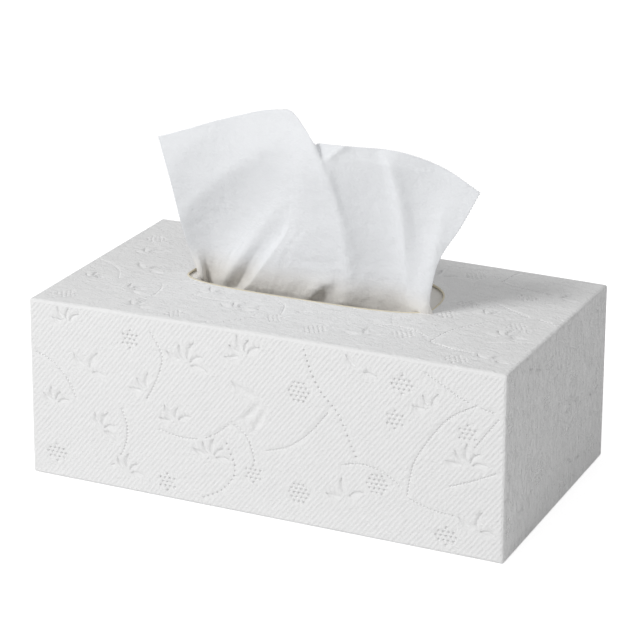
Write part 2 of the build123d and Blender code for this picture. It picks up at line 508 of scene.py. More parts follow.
def bare_board_material(settings):
    """Uncoated inside of recycled carton board: cream, quite rough, with short darker fibres."""
    material, tree = new_material("uncoated_board_inside")
    place = add_node(tree, "ShaderNodeTexCoord").outputs["Object"]
    fibres = grain(tree, place, BARE_FIBRE_GRAIN, 4.0)
    finish_surface(
        tree, mottled(tree, settings.inside_colour, fibres, 0.88, 1.03), bumped(tree, fibres, 0.4, 0.15 * MM),
        {"Roughness": 0.9, "Specular IOR Level": 0.2})
    return material


def tissue_material(settings):
    """Two-ply facial tissue: soft creped paper that scatters light and shows a fine crosswise crepe, with painted
    warm bounce light near the slot.
    """
    material, tree = new_material("creped_tissue_paper")
    place = add_node(tree, "ShaderNodeTexCoord").outputs["Object"]
    # the crepe is drawn as coarse as it has to be to show
    crepe = grain(tree, stretched(tree, place, CREPE_GRAIN), 1.0, 2.0)
    cloud = grain(tree, place, CLOUD_GRAIN, 3.0)
    # painted bounce light: warmer near the slot, a tint that stands in for the light that the carton's inside
    # throws on it
    height = add_node(tree, "ShaderNodeSeparateXYZ", {0: place}).outputs["Z"]
    depth = add_node(tree, "ShaderNodeMapRange", {
        "interpolation_type": "SMOOTHSTEP", "Value": height, 1: PAINTED_BOUNCE_LEVELS[0] * MM, 2: PAINTED_BOUNCE_LEVELS[1] * MM,
        3: 0.0, 4: PAINTED_BOUNCE_SHARE})
    warm = add_node(tree, "ShaderNodeMix", {
        "data_type": "RGBA", 0: depth.outputs[0], 6: mottled(tree, settings.colour, cloud, 0.97),
        7: (*settings.painted_bounce_colour, 1)})
    dimpled = bumped(tree, cloud, 0.9, 0.6 * MM)
    finish_surface(tree, warm.outputs[2], bumped(tree, crepe, 0.9, 0.2 * MM, Normal=dimpled), {
        "Roughness": 0.95, "Specular IOR Level": 0.1, "Subsurface Weight": 0.25,
        "Subsurface Radius": (1.0, 1.0, 1.0), "Subsurface Scale": 1.0 * MM})
    return material


def new_piece(name, points, faces):
    """An object at the origin with a mesh of points in millimetres."""
    mesh = bpy.data.meshes.new(name)
    mesh.from_pydata((np.asarray(points, float) * MM).tolist(), [], faces)
    mesh.update()
    piece = bpy.data.objects.new(name, mesh)
    bpy.context.scene.collection.objects.link(piece)
    return piece


def new_sheet(name, grid, paper, thickness, offset):
    """A sheet of paper from a grid of points, which are its middle at an offset of 0 and its face at 1."""
    piece = new_piece(name, grid.reshape(-1, 3), grid_faces(*grid.shape[:2]))
    piece.data.materials.append(paper)
    solid = piece.modifiers.new("thickness", "SOLIDIFY")
    solid.thickness = thickness
    solid.offset = offset
    return make_plain(piece)


def make_plain(piece):
    """Turns what a piece's modifiers make into its own plain mesh."""
    graph = bpy.context.evaluated_depsgraph_get()
    graph.update()
    mesh = bpy.data.meshes.new_from_object(piece.evaluated_get(graph))
    piece.modifiers.clear()
    piece.data = mesh
    return piece


def merge_and_turn_out(piece, distance=0.002):
    """Merges a piece's doubled points and turns its faces outwards."""
    work = bmesh.new()
    work.from_mesh(piece.data)
    bmesh.ops.remove_doubles(work, verts=work.verts, dist=distance * MM)
    bmesh.ops.recalc_face_normals(work, faces=work.faces)
    work.to_mesh(piece.data)
    work.free()


def new_tree(name, sizes):
    """A geometry tree with a geometry input and output and an input for each named size, and its input node."""
    tree = bpy.data.node_groups.new(name, "GeometryNodeTree")
    for way in ("INPUT", "OUTPUT"):
        tree.interface.new_socket("Geometry", in_out=way, socket_type="NodeSocketGeometry")
    for label, value in sizes.items():
        kind = "NodeSocketInt" if isinstance(value, int) else "NodeSocketFloat"
        tree.interface.new_socket(label, in_out="INPUT", socket_type=kind).default_value = value
    return tree, add_node(tree, "NodeGroupInput")


def use_tree(piece, tree, sizes):
    """Puts a geometry tree on a piece, with its named inputs set by their sockets' identifiers."""
    modifier = piece.modifiers.new(tree.name, "NODES")
    modifier.node_group = tree
    for item in tree.interface.items_tree:
        if item.in_out == "INPUT" and item.name in sizes:
            modifier[item.identifier] = sizes[item.name]


def slot_ring(grow):
    """The slot's edge as points, grown outwards by some millimetres."""
    angles = np.linspace(0, 2 * pi, SLOT_POINTS, endpoint=False)
    power = 2 / SLOT_SQUARENESS
    reach = np.where(np.sin(angles) > 0, SLOT_REACH_BACK, SLOT_REACH_FRONT)
    across = np.sign(np.cos(angles)) * np.abs(np.cos(angles)) ** power
    along = np.sign(np.sin(angles)) * np.abs(np.sin(angles)) ** power
    x = SLOT_CENTRE[0] + SLOT_HALF_LENGTH * across
    y = SLOT_CENTRE[1] + reach * along
    ring = even_line(np.column_stack([np.append(x, x[0]), np.append(y, y[0])]), SLOT_POINTS + 1)[:-1]
    ahead = np.roll(ring, -1, 0) - np.roll(ring, 1, 0)
    outward = np.column_stack([ahead[:, 1], -ahead[:, 0]]) / np.linalg.norm(ahead, axis=1)[:, None]
    return ring + outward * grow


def spans(line):
    """The lengths from each point of a line to the next."""
    return np.linalg.norm(np.diff(line, axis=0), axis=1)


def even_line(line, count):
    """A line's points, spaced evenly along it."""
    steps = np.append(0, np.cumsum(spans(line)))
    places = np.linspace(0, steps[-1], count)
    return np.column_stack([np.interp(places, steps, line[:, axis]) for axis in range(line.shape[1])])


def smooth_line(points, per_span):
    """A smooth line through points, with so many steps from each to the next."""
    p = np.asarray(points, float)
    gaps = np.maximum(np.sqrt(spans(p)), 1e-6)
    knots = np.append(0, np.cumsum(gaps))
    padded = np.vstack([2 * p[0] - p[1], p, 2 * p[-1] - p[-2]])
    knots = np.concatenate([[knots[0] - gaps[0]], knots, [knots[-1] + gaps[-1]]])
    line = []
    for i in range(1, len(p)):
        p0, p1, p2, p3 = padded[i - 1:i + 3]
        t0, t1, t2, t3 = knots[i - 1:i + 3]
        t = np.linspace(t1, t2, per_span, endpoint=False)[:, None]
        a1 = (t1 - t) / (t1 - t0) * p0 + (t - t0) / (t1 - t0) * p1
        a2 = (t2 - t) / (t2 - t1) * p1 + (t - t1) / (t2 - t1) * p2
        a3 = (t3 - t) / (t3 - t2) * p2 + (t - t2) / (t3 - t2) * p3
        b1 = (t2 - t) / (t2 - t0) * a1 + (t - t0) / (t2 - t0) * a2
        b2 = (t3 - t) / (t3 - t1) * a2 + (t - t1) / (t3 - t1) * a3
        line.append((t2 - t) / (t2 - t1) * b1 + (t - t1) / (t2 - t1) * b2)
    line.append(p[-1][None, :])
    return np.vstack(line)


class PressedPanel:
    """The points and lines of one panel, with how far each is raised as a rib or pressed as ornament."""

    grain = 0.2

    def __init__(self, width, height, margin):
        self.width, self.height, self.margin = width, height, margin
        self.points, self.ribs, self.pressed, self.sharp, self.edges = [], [], [], [], []
        self.count = 0
        self.taken = np.zeros((ceil(height / self.grain) + 1, ceil(width / self.grain) + 1), bool)

    def is_free(self, points):
        """Which points lie inside the panel's margin, on ground that nothing has taken."""
        points = np.atleast_2d(points)
        inside = (
            (points[:, 0] > self.margin) & (points[:, 0] < self.width - self.margin)
            & (points[:, 1] > self.margin) & (points[:, 1] < self.height - self.margin))
        column = np.clip((points[:, 0] / self.grain).round().astype(int), 0, self.taken.shape[1] - 1)
        row = np.clip((points[:, 1] / self.grain).round().astype(int), 0, self.taken.shape[0] - 1)
        return inside & ~self.taken[row, column]

    def take(self, points, radius):
        """Keeps the discs round points clear of what is drawn later."""
        reach = int(ceil(radius / self.grain))
        for x, y in np.atleast_2d(points):
            column, row = int(round(x / self.grain)), int(round(y / self.grain))
            rows = np.arange(max(row - reach, 0), min(row + reach + 1, self.taken.shape[0]))
            columns = np.arange(max(column - reach, 0), min(column + reach + 1, self.taken.shape[1]))
            if len(rows) and len(columns):
                near = np.hypot(rows[:, None] * self.grain - y, columns[None, :] * self.grain - x) <= radius
                self.taken[rows[0]:rows[-1] + 1, columns[0]:columns[-1] + 1] |= near

    def add(self, points, rib=0.0, pressed=0.0, sharp=False, closed=False, joined=True):
        """Adds points, joined by a line where asked."""
        points = np.atleast_2d(points)
        first, count = self.count, len(points)
        self.points.append(points)
        self.ribs.append(np.full(count, rib))
        self.pressed.append(np.full(count, pressed))
        self.sharp.append(np.full(count, sharp or rib != 0))
        if joined:
            self.edges += [(first + i, first + i + 1) for i in range(count - 1)]
        if closed:
            self.edges.append((first + count - 1, first))
        self.count += count

    def add_free_runs(self, points, **how):
        """Adds the stretches of a line that lie on free ground."""
        free = self.is_free(points)
        joined = free[:-1] & free[1:]
        for share in (0.25, 0.5, 0.75):
            joined &= self.is_free(points[:-1] * (1 - share) + points[1:] * share)
        run = []
        for i, point in enumerate(points):
            if free[i]:
                run.append(point)
            if run and (i == len(points) - 1 or not joined[i]):
                self.add(np.array(run), **how)
                run = []


def add_petal(panel, base, heading, length):
    """A pressed petal: its rim, and the ring where its floor starts."""
    share = np.linspace(0, 1, PETAL_STEPS)
    half = length * PETAL_WIDTH / 2 * np.sin(pi * share ** PETAL_TAPER)
    along = length * share
    bend = PETAL_BEND * length * np.sin(pi * share)
    rim = np.vstack([np.column_stack([along, bend + half]), np.column_stack([along, bend - half])[-2:0:-1]])
    middle = np.array([length / 2, PETAL_BEND * length])
    floor = middle + (rim - middle) * PETAL_FLOOR
    turn = np.array([[cos(heading), sin(heading)], [-sin(heading), cos(heading)]])
    rim, floor, spine = [form @ turn + base for form in (rim, floor, np.column_stack([along, bend]))]
    if panel.is_free(rim).all() and panel.is_free(spine).all():
        panel.add(rim, closed=True)
        panel.add(floor, pressed=FLOOR_DEPTH, closed=True)
        for point, reach in zip(spine, half):
            panel.take(point, reach + PETAL_MARGIN)


def add_dot(panel, middle, radius=DOT_RADIUS):
    """A round pressed dot."""
    angles = np.linspace(0, 2 * pi, DOT_SIDES, endpoint=False)
    ring = np.column_stack([np.cos(angles), np.sin(angles)]) * radius
    if panel.is_free(middle + ring).all() and panel.is_free(middle).all():
        panel.add(middle + ring, closed=True)
        panel.add(middle + ring * DOT_FLOOR, pressed=FLOOR_DEPTH, sharp=True, closed=True)
        panel.take(middle, radius + DOT_MARGIN)


def add_stem(panel, points):
    """A pressed stem: a row of small pits between two banks."""
    line = smooth_line(points, STEM_STEPS)
    line = even_line(line, int(spans(line).sum() / BEAD_STEP) + 2)
    ahead = np.gradient(line, axis=0)
    side = np.column_stack([-ahead[:, 1], ahead[:, 0]]) / np.linalg.norm(ahead, axis=1)[:, None]
    free = np.all([panel.is_free(line + side * way * STEM_MARGIN) for way in (0, 1, -1)], axis=0)
    start = None
    for i in range(len(line) + 1):
        if i < len(line) and free[i]:
            start = i if start is None else start
        elif start is not None:
            if i - start > 2:
                span = slice(start, i)
                for way in (1, -1):
                    panel.add((line[span] + side[span] * way * STEM_HALF_WIDTH)[::2])
                beads = np.where(np.arange(start + 1, i - 1) % 2, FLOOR_DEPTH, 0.0)
                panel.add(line[start + 1:i - 1], pressed=beads, sharp=True)
                panel.take(even_line(line[span], (i - start) * 2), STEM_MARGIN)
            start = None


def falls_near(panel, spot, reach):
    """Whether a spot lies on a panel, or within a reach of it."""
    return -reach < spot[0] < panel.width + reach and -reach < spot[1] < panel.height + reach


def press_ornament(panel, shift):
    """The ornament of the blank that falls on a panel."""
    wide, high = ORNAMENT_REPEAT
    places = [(i * wide - shift[0], j * high - shift[1]) for i, j in ORNAMENT_TILES]
    for place in places:
        for middle, heading, fan, petals, length in SPRAYS:
            base = np.array(middle) + place
            for i in range(petals if falls_near(panel, base, SPRAY_REACH) else 0):
                angle = radians(heading + fan * (i / (petals - 1) - 0.5))
                start = base + PETAL_START * np.array([cos(angle), sin(angle)])
                add_petal(panel, start, angle, length * (1.0 - PETAL_SHORTER * (i % 2)))
    for place in places:
        for middle, radius in CLUSTERS:
            base = np.array(middle) + place
            if falls_near(panel, base, CLUSTER_REACH):
                reach = int(radius / DOT_PITCH) + 1
                for i, j in product(range(-reach, reach + 1), repeat=2):
                    step = np.array([i + j * 0.5, j * DOT_ROW]) * DOT_PITCH
                    if np.hypot(*step) <= radius:
                        add_dot(panel, base + step)
    for place in places:
        for points in DOTTED_STEMS:
            line = smooth_line(np.array(points, float) + place, STEM_STEPS)
            for point in even_line(line, int(spans(line).sum() / DOT_PITCH)):
                add_dot(panel, point, SMALL_DOT_RADIUS)
        for points in STEMS:
            add_stem(panel, np.array(points, float) + place)


def add_ribs(panel, shift, pitch, angle, level):
    """Crests and grooves of the ribs, on the ground that the ornament leaves. The crests lie at the level."""
    ahead = np.array([cos(angle), sin(angle)])
    side = np.array([-sin(angle), cos(angle)])
    corners = np.array([(0, 0), (panel.width, 0), (0, panel.height), (panel.width, panel.height)])
    start = (corners + shift) @ side
    margin = panel.margin + RIB_END_GAP
    for number in range(int(start.min() / (pitch / 2)), int(start.max() / (pitch / 2)) + 1):
        middle = side * (number * pitch / 2) - shift
        reach = (corners - middle) @ ahead
        # where the line enters and leaves the panel
        low, high = reach.min(), reach.max()
        for axis, size in enumerate((panel.width, panel.height)):
            enter, leave = sorted((end - middle[axis]) / ahead[axis] for end in (margin, size - margin))
            low, high = max(low, enter), min(high, leave)
        if high - low > SHORTEST_RIB:
            places = np.linspace(low, high, max(int((high - low) / RIB_STEP), 1) + 1)
            panel.add_free_runs(middle + places[:, None] * ahead, rib=level - 1.0 if number % 2 else level)


def panel_mesh(panel, hole):
    """Points, triangles and how far each point is raised or pressed, from a panel's points and lines."""
    points = np.vstack(panel.points)
    made = delaunay_2d_cdt([Vector(p) for p in points], panel.edges, [], 0, 1e-5, True)
    verts = np.array([tuple(v) for v in made[0]])
    source = [ids[0] if ids else -1 for ids in made[3]]
    ribs, pressed, sharp = [
        np.append(np.concatenate(values), 0.0)[source] for values in (panel.ribs, panel.pressed, panel.sharp)]
    faces = np.array([list(f) for f in made[2]])
    if hole is not None:
        middles = verts[faces].mean(1)
        faces = faces[~inside_ring(middles, hole)]
    return verts, faces, ribs, pressed, sharp


def inside_ring(points, ring):
    """Which points lie inside a closed ring."""
    inside = np.zeros(len(points), bool)
    for (x0, y0), (x1, y1) in zip(ring, np.roll(ring, -1, 0)):
        crosses = (y0 > points[:, 1]) != (y1 > points[:, 1])
        if y0 != y1:
            inside ^= crosses & (points[:, 0] < (x1 - x0) * (points[:, 1] - y0) / (y1 - y0) + x0)
    return inside


def grid_faces(rows, columns, closed=False):
    """Quads of a grid of points. Where it is closed, its last column joins its first one."""
    quads = []
    for i in range(rows - 1):
        for j in range(columns if closed else columns - 1):
            k = (j + 1) % columns
            quads.append((i * columns + j, i * columns + k, (i + 1) * columns + k, (i + 1) * columns + j))
    return quads


def ball_eighth(steps):
    """Points and triangles of an eighth of a ball of radius one."""
    points, triangles = [], []
    for k in range(steps + 1):
        polar = pi / 2 * k / steps
        here, below = k * (k + 1) // 2, (k + 1) * (k + 2) // 2
        for i in range(k + 1):
            turn = pi / 2 * i / max(k, 1)
            points.append((sin(polar) * cos(turn), sin(polar) * sin(turn), cos(polar)))
            if k < steps:
                triangles.append((here + i, below + i, below + i + 1))
                if i < k:
                    triangles.append((here + i, below + i + 1, here + i + 1))
    return np.array(points), triangles


class CartonBoard:
    """The carton's board in millimetres: panels, creases and corners, outside and inside, slot edge and flaps.

    Each point carries its outward direction, its share of a rib and of the ornament's depth, and a mark where
    faces meet sharply. Each face carries a mark where it shows the board's inside.
    """

    def __init__(self, settings):
        self.settings = settings
        self.low, self.high = np.array(CARTON_LOW) / MM, np.array(CARTON_HIGH) / MM
        self.size = self.high - self.low
        self.crease, self.thickness = settings.crease / MM, settings.board / MM
        self.steps = [max(int(round((size - 2 * self.crease) / BORDER_STEP)), 1) for size in self.size]
        self.points, self.faces, self.inside, self.count = [], [], [], 0
        self.carried = {"outward": [], "rib_share": [], "pressed": [], "sharp": []}
        for inner in (False, True):
            for panel in PANELS:
                self.put_panel(*panel, inner)
            self.put_creases(inner)
            self.put_corners(inner)
        self.put_slot_edge()
        self.put_flaps()

    def put(self, points, faces, inner, outward=0.0, rib_share=0.0, pressed=0.0, sharp=0.0):
        """Adds a patch of the board."""
        self.points.append(points)
        self.faces += [tuple(int(i) + self.count for i in face) for face in faces]
        self.inside.append(np.full(len(faces), inner))
        self.carried["outward"].append(np.broadcast_to(outward, points.shape))
        for name, share in (("rib_share", rib_share), ("pressed", pressed), ("sharp", sharp)):
            self.carried[name].append(np.broadcast_to(share, len(points)))
        self.count += len(points)

    def sunk(self, inner):
        """How far the inner or the outer face lies under the carton's outside."""
        return self.thickness if inner else 0.0

    def border(self, width, height, across_steps, up_steps):
        """The points round a panel, where its creases start."""
        u = np.linspace(self.crease, width - self.crease, across_steps + 1)
        v = np.linspace(self.crease, height - self.crease, up_steps + 1)
        return np.vstack([
            np.column_stack([u[:-1], np.full(across_steps, self.crease)]),
            np.column_stack([np.full(up_steps, width - self.crease), v[:-1]]),
            np.column_stack([u[:0:-1], np.full(across_steps, height - self.crease)]),
            np.column_stack([np.full(up_steps, self.crease), v[:0:-1]])])

    def put_panel(self, name, corner, along, up, shift, inner):
        """One panel, embossed outside and roughly pressed inside, with the slot's hole in the top one."""
        along, up = np.array(along, float), np.array(up, float)
        width, height = abs(along @ self.size), abs(up @ self.size)
        steps = [self.steps[int(np.argmax(np.abs(way)))] for way in (along, up)]
        panel = PressedPanel(width, height, self.crease + CREASE_MARGIN)
        panel.add(self.border(width, height, *steps), closed=True)
        hole = None
        if name == "top":
            hole = slot_ring(0.0 if inner else SLOT_RIM) - self.low[:2]
            panel.add(hole, closed=True)
            panel.take(hole, SLOT_MARGIN)
            rows, columns = np.mgrid[0:panel.taken.shape[0], 0:panel.taken.shape[1]]
            spots = np.column_stack([columns.ravel(), rows.ravel()]) * panel.grain
            panel.taken |= inside_ring(spots, hole).reshape(panel.taken.shape)
        if inner:
            ticks = [np.arange(INSIDE_START, size - INSIDE_END, INSIDE_STEP) for size in (width, height)]
            grid = np.array(list(product(*ticks)))
            panel.add(grid[panel.is_free(grid)], pressed=INSIDE_SHARE, joined=False)
        else:
            press_ornament(panel, shift)
            add_ribs(panel, np.array(shift, float), self.settings.rib_pitch / MM, self.settings.rib_angle,
                     0.0 if name == "bottom" else 1.0)
        flat, triangles, *shares = panel_mesh(panel, hole)
        normal = np.cross(along, up)
        origin = self.low + self.size * corner - normal * self.sunk(inner)
        placed = origin + flat[:, :1] * along + flat[:, 1:] * up
        self.put(placed, triangles[:, ::-1] if inner else triangles, inner, normal, *shares)

    def put_creases(self, inner):
        """Quarter rounds between the panels."""
        radius = self.crease - self.sunk(inner)
        turn = np.linspace(0, pi / 2, CREASE_STEPS + 1)
        for axis in range(3):
            line = np.linspace(
                self.low[axis] + self.crease, self.high[axis] - self.crease, self.steps[axis] + 1)
            for sides in product((0, 1), repeat=2):
                middle, rays = np.zeros(3), np.zeros((len(turn), 3))
                for step, side, share in zip((1, 2), sides, (np.cos(turn), np.sin(turn))):
                    way = (axis + step) % 3
                    middle[way] = (self.low, self.high)[side][way] + self.crease * (1 - 2 * side)
                    rays[:, way] = share * (2 * side - 1)
                grid = middle + rays[None, :, :] * radius + np.zeros((len(line), 1, 3))
                grid[:, :, axis] = line[:, None]
                self.put(grid.reshape(-1, 3), grid_faces(len(line), len(turn)), inner)

    def put_corners(self, inner):
        """Eighths of a ball between the creases."""
        radius = self.crease - self.sunk(inner)
        rays, triangles = ball_eighth(CREASE_STEPS)
        for sides in product((0, 1), repeat=3):
            middle = np.where(np.array(sides) == 1, self.high - self.crease, self.low + self.crease)
            self.put(middle + rays * (np.array(sides) * 2 - 1) * radius, triangles, inner)

    def put_slot_edge(self):
        """The slot's torn edge, curled up a little, down to the board's inner face."""
        rings = SLOT_EDGE + [(0.0, self.thickness)]
        points = np.vstack([
            np.column_stack([slot_ring(grow), np.full(SLOT_POINTS, self.high[2] - drop)])
            for grow, drop in rings])
        self.put(points, grid_faces(len(rings), SLOT_POINTS, closed=True), True)

    def put_flaps(self):
        """Flaps glued inside: a dust flap at each end of the front and the back, and the back's seam flap."""
        gap = self.thickness + GLUE_GAP
        (left, front), (right, back) = self.low[:2] + gap, self.high[:2] - gap
        flaps = []
        for wall in ((left, left + self.thickness), (right - self.thickness, right)):
            flaps.append((wall, (front, front + DUST_FLAP_REACH), DUST_FLAP_LEVELS))
            flaps.append((wall, (back - DUST_FLAP_REACH, back), DUST_FLAP_LEVELS))
        flaps.append(((left + gap, right - gap), (back - self.thickness, back), SEAM_FLAP_LEVELS))
        for flap in flaps:
            self.put(np.array(list(product(*flap))), BOX_FACES, True)


def belly_out(points, bulge):
    """Bellies the carton's panels out a little, with its bottom flat, and shifts its corners out of square."""
    half = np.array(CARTON_HIGH) / MM
    x, y, z = (points / half).T
    moved = points.copy()
    rise = 4 * z * (1 - z)
    moved[:, 1] += np.sign(y) * np.abs(y) ** 4 * SIDE_BULGE * bulge * (1 - x ** 2) * rise
    moved[:, 0] += np.sign(x) * np.abs(x) ** 6 * END_BULGE * bulge * (1 - y ** 2) * rise
    moved[:, 2] += z ** 4 * bulge * (1 - x ** 2) * (EDGE_BULGE + (1 - EDGE_BULGE) * (1 - y ** 2))
    shares = np.column_stack([(x + 1) / 2, (y + 1) / 2, z])
    for sides, shift in CORNER_SHIFTS.items():
        weight = np.prod(np.where(np.array(sides) == 1, shares, 1 - shares), axis=1)
        moved += weight[:, None] * np.array(shift)
    return moved


def embossing_tree(sizes, board, inside):
    """Raises the ribs and presses the ornament by named sizes, from shares kept on the board's points."""
    tree, start = new_tree("carton_embossing", sizes)
    outward, rib, pressed, inner = [
        add_node(tree, "GeometryNodeInputNamedAttribute", {"data_type": kind, "Name": name}).outputs[0]
        for kind, name in (
            ("FLOAT_VECTOR", "outward"), ("FLOAT", "rib_share"), ("FLOAT", "pressed"), ("BOOLEAN", "inside"))]
    raised = calculate(tree, "MULTIPLY", rib, start.outputs["Rib height"])
    sunk = calculate(tree, "MULTIPLY", pressed, start.outputs["Ornament depth"])
    offset = add_node(tree, "ShaderNodeVectorMath", {
        "operation": "SCALE", 0: outward, "Scale": calculate(tree, "SUBTRACT", raised, sunk)})
    shaped = add_node(
        tree, "GeometryNodeSetPosition", {"Geometry": start.outputs[0], "Offset": offset.outputs[0]})
    whole = add_node(tree, "GeometryNodeRealizeInstances", {"Geometry": shaped.outputs[0]})
    white = add_node(tree, "GeometryNodeSetMaterial", {"Material": board, "Geometry": whole.outputs[0]})
    cream = add_node(
        tree, "GeometryNodeSetMaterial", {"Material": inside, "Geometry": white.outputs[0], "Selection": inner})
    add_node(tree, "NodeGroupOutput", {0: cream.outputs[0]})
    return tree


class TISSUEBOX_OT_carton(bpy.types.Operator):
    """Builds the carton with its embossed panels, rounded creases, slot and glued flaps"""

    bl_idname = "tissuebox.carton"
    bl_label = "Carton"

    def execute(self, context):
        settings = context.scene.tissuebox_carton
        board = CartonBoard(settings)
        piece = new_piece(
            "embossed_carton", belly_out(np.vstack(board.points), settings.bulge / MM), board.faces)
        attributes = piece.data.attributes
        for name, values in board.carried.items():
            kind, key = ("FLOAT_VECTOR", "vector") if name == "outward" else ("FLOAT", "value")
            attributes.new(name, kind, "POINT").data.foreach_set(key, np.concatenate(values).ravel())
        attributes.new("inside", "BOOLEAN", "FACE").data.foreach_set("value", np.concatenate(board.inside))
        merge_and_turn_out(piece)
        sizes = {"Rib height": settings.rib_height, "Ornament depth": settings.ornament_depth}
        tree = embossing_tree(sizes, coated_board_material(settings), bare_board_material(settings))
        use_tree(piece, tree, sizes)
        make_plain(piece)
        shade_embossing(piece.data)
        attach(piece, "root")
        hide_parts("carton")
        return {"FINISHED"}


def shade_embossing(mesh):
    """Shades the mesh smooth, apart from the faces of ribs and dots, which meet at sharp lines."""
    sharp = np.zeros(len(mesh.vertices))
    mesh.attributes["sharp"].data.foreach_get("value", sharp)
    corners = np.zeros(len(mesh.loops), int)
    mesh.loops.foreach_get("vertex_index", corners)
    starts = np.zeros(len(mesh.polygons), int)
    mesh.polygons.foreach_get("loop_start", starts)
    mesh.polygons.foreach_set("use_smooth", np.maximum.reduceat(sharp[corners], starts) == 0)
    mesh.update()


def photo_axes():
    """The photograph's eye in millimetres, and the directions to its right, up and back to the eye."""
    azimuth, elevation = radians(CAMERA_AZIMUTH), radians(CAMERA_ELEVATION)
    back = np.array([sin(azimuth) * cos(elevation), -cos(azimuth) * cos(elevation), sin(elevation)])
    right = np.array([cos(azimuth), sin(azimuth), 0.0])
    return np.array(CAMERA_TARGET) + back * CAMERA_DISTANCE, right, np.cross(back, right), back


def photo_point(across, down, depth):
    """The place in millimetres under a pixel of the photograph, on the upright plane at a depth."""
    eye, right, up, back = photo_axes()
    ray = right * (across - PHOTO_SIDE / 2) / FOCAL_PIXELS - up * (down - PHOTO_SIDE / 2) / FOCAL_PIXELS - back
    return eye + ray * (depth - eye[1]) / ray[1]


def photo_spots(points):
    """The pixels of the photograph at which points in millimetres are seen."""
    eye, right, up, back = photo_axes()
    away = points - eye
    far = -(away @ back)
    half = PHOTO_SIDE / 2
    return np.column_stack([half + FOCAL_PIXELS * (away @ right) / far, half - FOCAL_PIXELS * (away @ up) / far])


def ramp(values, start, length):
    """Nought up to a start, and from there evenly up to one over a length."""
    return np.clip((values - start) / length, 0, 1)


def fold_lift(spots, fold):
    """How far a fold lifts the tissue towards the eye, in millimetres, at pixels of the photograph."""
    line, heights, left, right, roundness = fold
    path = smooth_line(np.column_stack([np.array(line, float), heights]), FOLD_STEPS)
    nearest, side, height = np.full(len(spots), 1e9), np.zeros(len(spots)), np.zeros(len(spots))
    for (x0, y0, h0), (x1, y1, h1) in zip(path[:-1], path[1:]):
        step = np.array([x1 - x0, y1 - y0])
        to_spot = spots - (x0, y0)
        share = np.clip(to_spot @ step / (step @ step), 0, 1)
        distance = np.linalg.norm(to_spot - share[:, None] * step, axis=1)
        near = distance < nearest
        nearest[near] = distance[near]
        side[near] = (step[0] * to_spot[:, 1] - step[1] * to_spot[:, 0])[near]
        height[near] = (h0 + share * (h1 - h0))[near]
    fall = nearest * PIXEL_ON_TISSUE / np.where(side > 0, left, right)
    return height * np.exp(-FOLD_FALL * (np.sqrt(fall ** 2 + roundness ** 2) - roundness))


def tissue_grid():
    """Rows of points of the raised tissue, from the stack up to its upper hem."""
    top, foot = CARTON_HIGH[2] / MM, STACK_HIGH[2] / MM
    middle = SLOT_CENTRE[0]
    columns = []
    for column in TISSUE_SHEET:
        places = [photo_point(*place) for place in column]
        x, y, z = places[0]
        base, flare, neck = [
            np.array([middle + (x - middle) * spread, y * share, level + rise])
            for (spread, share, rise), level in zip(TISSUE_GATHER, (foot, foot, top))]
        if z < top - NECK_MARGIN:
            neck = (places[0] + flare) / 2
        columns.append(even_line(smooth_line([base, flare, neck, *places], COLUMN_STEPS), TISSUE_ROWS))
    columns = np.array(columns)
    rows = [even_line(smooth_line(columns[:, row], ROW_STEPS), TISSUE_COLUMNS) for row in range(TISSUE_ROWS)]
    points = np.array(rows).reshape(-1, 3)
    toward = photo_axes()[0] - points
    toward /= np.linalg.norm(toward, axis=1)[:, None]
    spots = photo_spots(points)
    lift = sum(fold_lift(spots, fold) for fold in TISSUE_FOLDS.values())
    lift *= ramp(points[:, 2], *FOLDS_START)
    grid = (points + toward * lift[:, None]).reshape(TISSUE_ROWS, TISSUE_COLUMNS, 3)
    # the cut edges are finely pinked
    grid[-1, ::2] += (grid[-2, ::2] - grid[-1, ::2]) * PINKING
    for edge, beside in ((0, 1), (-1, -2)):
        grid[::2, edge] += (grid[::2, beside] - grid[::2, edge]) * PINKING
    return grid


def wrinkle(grid, height):
    """Small soft wrinkles that run along the folds, lying deeper towards the slot."""
    rows, columns = grid.shape[:2]
    along = np.gradient(grid, axis=0)
    across = np.gradient(grid, axis=1)
    normal = np.cross(across, along)
    normal /= np.maximum(np.linalg.norm(normal, axis=2, keepdims=True), 1e-9)
    width = np.linalg.norm(np.diff(grid, axis=1), axis=2).cumsum(1)
    moved = grid.copy()
    for i in range(rows):
        share = i / (rows - 1)
        for j in range(columns):
            place = width[i, j - 1] if j else 0.0
            lift = sum(
                part * noise.noise(Vector((place * across_rate, share * along_rate, layer)))
                for across_rate, along_rate, layer, part in WRINKLES)
            moved[i, j] += normal[i, j] * height * lift * (1 - (1 - WRINKLES_AT_HEM) * share)
    return moved


class TISSUEBOX_OT_raised_tissue(bpy.types.Operator):
    """Builds the tissue that stands gathered in the slot, from its listed folds"""

    bl_idname = "tissuebox.raised_tissue"
    bl_label = "Raised tissue"

    def execute(self, context):
        settings = context.scene.tissuebox_tissue
        grid = wrinkle(tissue_grid(), settings.wrinkles / MM)
        piece = new_sheet("raised_tissue_sheet", grid, tissue_material(settings), settings.thickness, 0.0)
        merge_and_turn_out(piece, 0.001)
        piece.data.shade_smooth()
        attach(piece, "root")
        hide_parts("raised_tissue")
        return {"FINISHED"}


